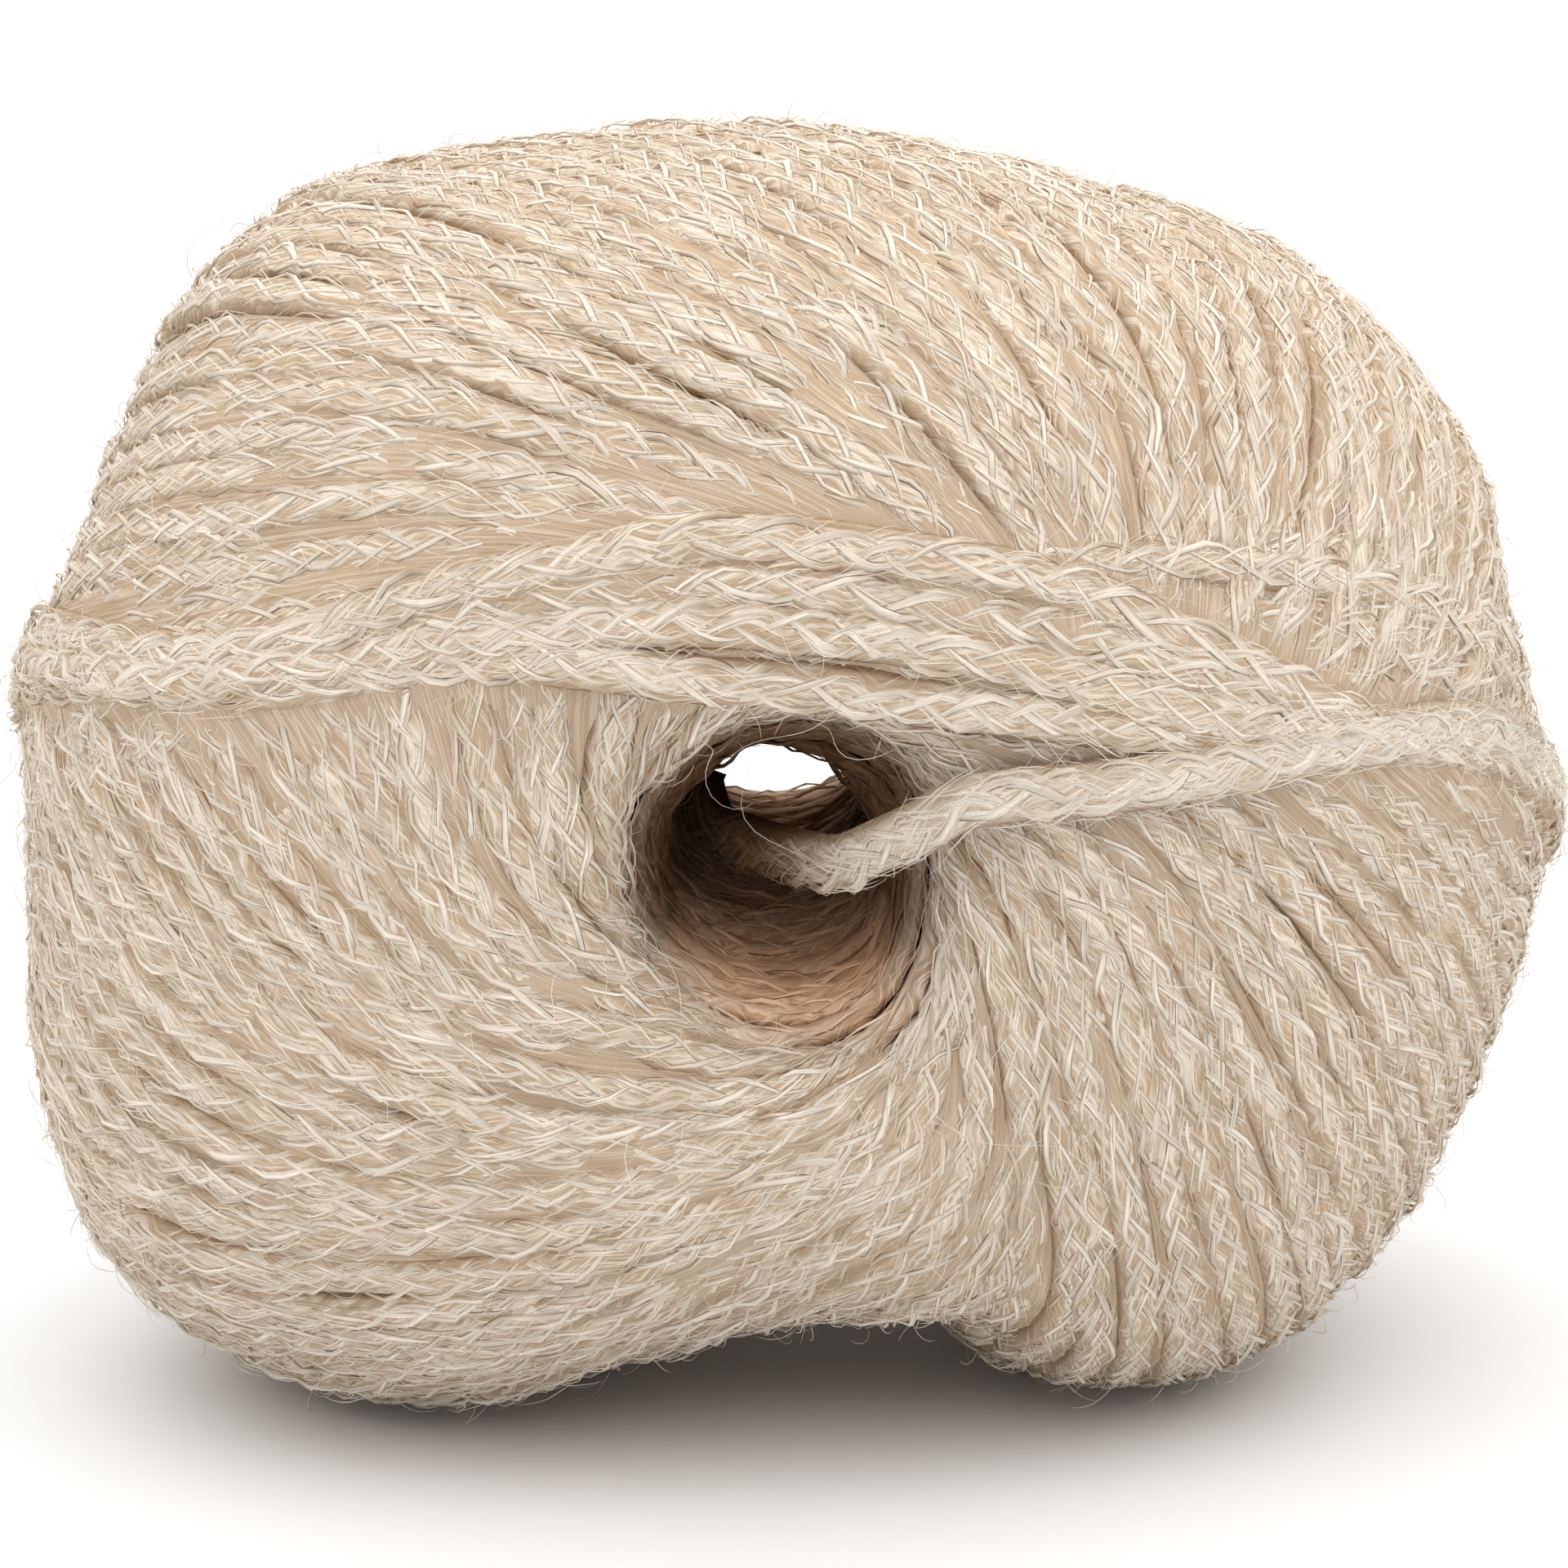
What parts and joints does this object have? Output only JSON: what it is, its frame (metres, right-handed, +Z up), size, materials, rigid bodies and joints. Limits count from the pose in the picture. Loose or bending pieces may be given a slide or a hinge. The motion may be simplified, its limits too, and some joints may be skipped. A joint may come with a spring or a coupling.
{
  "type": "centre-eye yarn ball",
  "caption": "Soft wound ball of cream chainette yarn with an eye through its middle, standing on its side, its loose outer end tucked into the eye.",
  "frame": {"origin": "on the surface it rests on, under the middle of the ball", "axes": "+X to the right of someone facing the eye with the loose end, along the longest side; +Y along the axis of the eye, away from them; +Z up"},
  "size_m": [0.1162, 0.0898, 0.0952],
  "materials": {
    "wound_yarn": "soft brushed cream yarn, matt and hairy",
    "loose_yarn": "soft brushed cream yarn, matt and hairy"
  },
  "bodies": {
    "root": {"wound_ball": "wound_yarn", "loose_end": "loose_yarn"}
  },
  "joints": []
}
